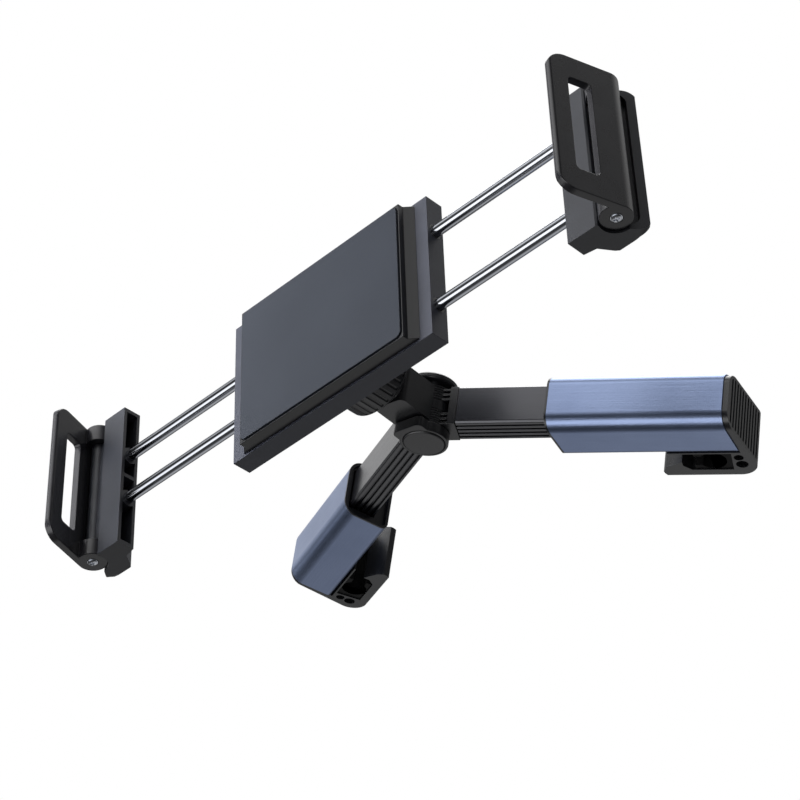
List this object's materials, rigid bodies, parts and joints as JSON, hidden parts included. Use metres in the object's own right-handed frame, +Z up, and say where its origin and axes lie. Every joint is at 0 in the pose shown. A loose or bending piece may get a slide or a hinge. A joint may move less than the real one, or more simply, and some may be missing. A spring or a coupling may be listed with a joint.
{
  "type": "headrest tablet mount",
  "caption": "Car headrest mount with folding telescopic arms, post hooks, and a ball-jointed tablet clamp with sliding jaws and hinged flaps.",
  "frame": {"origin": "on the hub's hinge axis, at the mid-height of the two arms", "axes": "+Z up along the hub's hinge axis, parallel to the headrest posts; +X to the passenger's right; +Y towards the headrest"},
  "size_m": [0.3473, 0.2112, 0.1378],
  "materials": {
    "black_plastic": "moulded black plastic, fine satin grain",
    "pale_liner": "unfilled acetal",
    "steel": "plated steel",
    "dark_aluminium": "dark grey anodised extrusion",
    "blue_aluminium": "pale blue-grey satin anodised extrusion",
    "rubber_grip": "matt black rubber",
    "housing_plastic": "dark slate moulded plastic",
    "pad_rubber": "soft slate grey rubber",
    "chrome_rod": "polished",
    "gloss_black": "glossy black plastic"
  },
  "bodies": {
    "hub": {"hub_frame": "black_plastic", "ball_stud": "steel", "hub_pin": "steel", "top_cap": "black_plastic", "upper_washer": "steel", "lower_plate": "black_plastic", "bottom_cap": "black_plastic"},
    "right_arm": {"right_arm_root": "black_plastic", "right_arm_bar": "dark_aluminium", "right_bar_glide": "black_plastic"},
    "left_arm": {"left_arm_root": "black_plastic", "left_arm_bar": "dark_aluminium", "left_bar_glide": "black_plastic"},
    "right_extension": {"right_sleeve": "blue_aluminium", "right_sleeve_bush": "black_plastic", "right_hook": "black_plastic", "right_post_grip": "rubber_grip"},
    "left_extension": {"left_sleeve": "blue_aluminium", "left_sleeve_bush": "black_plastic", "left_hook": "black_plastic", "left_post_grip": "rubber_grip"},
    "ball_ring": {"friction_ring": "pale_liner"},
    "ball_cup": {"socket_cup": "black_plastic"},
    "head": {"socket_base": "black_plastic", "rear_housing": "housing_plastic", "front_block": "housing_plastic", "front_pad": "pad_rubber", "rod_guides": "black_plastic", "housing_screws": "steel"},
    "ring_nut": {"lock_ring": "black_plastic"},
    "right_clamp": {"right_jaw": "housing_plastic", "right_upper_rod": "chrome_rod", "right_lower_rod": "chrome_rod", "right_paddle_pin": "steel", "right_rod_screws": "steel"},
    "left_clamp": {"left_jaw": "housing_plastic", "left_upper_rod": "chrome_rod", "left_lower_rod": "chrome_rod", "left_paddle_pin": "steel", "left_rod_screws": "steel"},
    "right_flap": {"right_paddle": "gloss_black"},
    "left_flap": {"left_paddle": "gloss_black"}
  },
  "joints": [
    {"name": "right_arm_swing", "type": "hinge", "parent": "hub", "child": "right_arm", "pos_m": [0, 0, 0], "axis": [0, 0, 1], "range_deg": [-22, 27]},
    {"name": "left_arm_swing", "type": "hinge", "parent": "hub", "child": "left_arm", "pos_m": [0, 0, 0], "axis": [0, 0, 1], "range_deg": [-27, 22]},
    {"name": "right_sleeve_slide", "type": "slide", "parent": "right_arm", "child": "right_extension", "axis": [0.8846, 0.4664, 0], "range_m": [-0.039, 0.0246]},
    {"name": "left_sleeve_slide", "type": "slide", "parent": "left_arm", "child": "left_extension", "axis": [-0.8846, 0.4664, 0], "range_m": [-0.0616, 0.002]},
    {"name": "ball_yaw", "type": "hinge", "parent": "hub", "child": "ball_ring", "pos_m": [0, -0.0392, 0], "axis": [0, 0, 1], "range_deg": [-11.1, 18.9]},
    {"name": "ball_pitch", "type": "hinge", "parent": "ball_ring", "child": "ball_cup", "pos_m": [0, -0.0392, 0], "axis": [0.9977, -0.068, 0], "range_deg": [-17.5, 12.5]},
    {"name": "head_roll", "type": "hinge", "parent": "ball_cup", "child": "head", "pos_m": [0, -0.0392, 0], "axis": [0.068, 0.9967, 0.0436], "continuous": true},
    {"name": "lock_ring_turn", "type": "hinge", "parent": "head", "child": "ring_nut", "pos_m": [0, -0.0392, 0], "axis": [0.068, 0.9967, 0.0436], "range_deg": [0, 180]},
    {"name": "right_jaw_slide", "type": "slide", "parent": "head", "child": "right_clamp", "axis": [0.9808, -0.0748, 0.1803], "range_m": [-0.072, 0.005]},
    {"name": "left_jaw_slide", "type": "slide", "parent": "head", "child": "left_clamp", "axis": [-0.9808, 0.0748, -0.1803], "range_m": [-0.075, 0.001]},
    {"name": "right_paddle_fold", "type": "hinge", "parent": "right_clamp", "child": "right_flap", "pos_m": [0.15438, -0.07392, 0.03714], "axis": [-0.183, -0.0305, 0.9826], "range_deg": [-69, 0]},
    {"name": "left_paddle_fold", "type": "hinge", "parent": "left_clamp", "child": "left_flap", "pos_m": [-0.16466, -0.04961, -0.02153], "axis": [-0.183, -0.0305, 0.9826], "range_deg": [0, 69]}
  ]
}
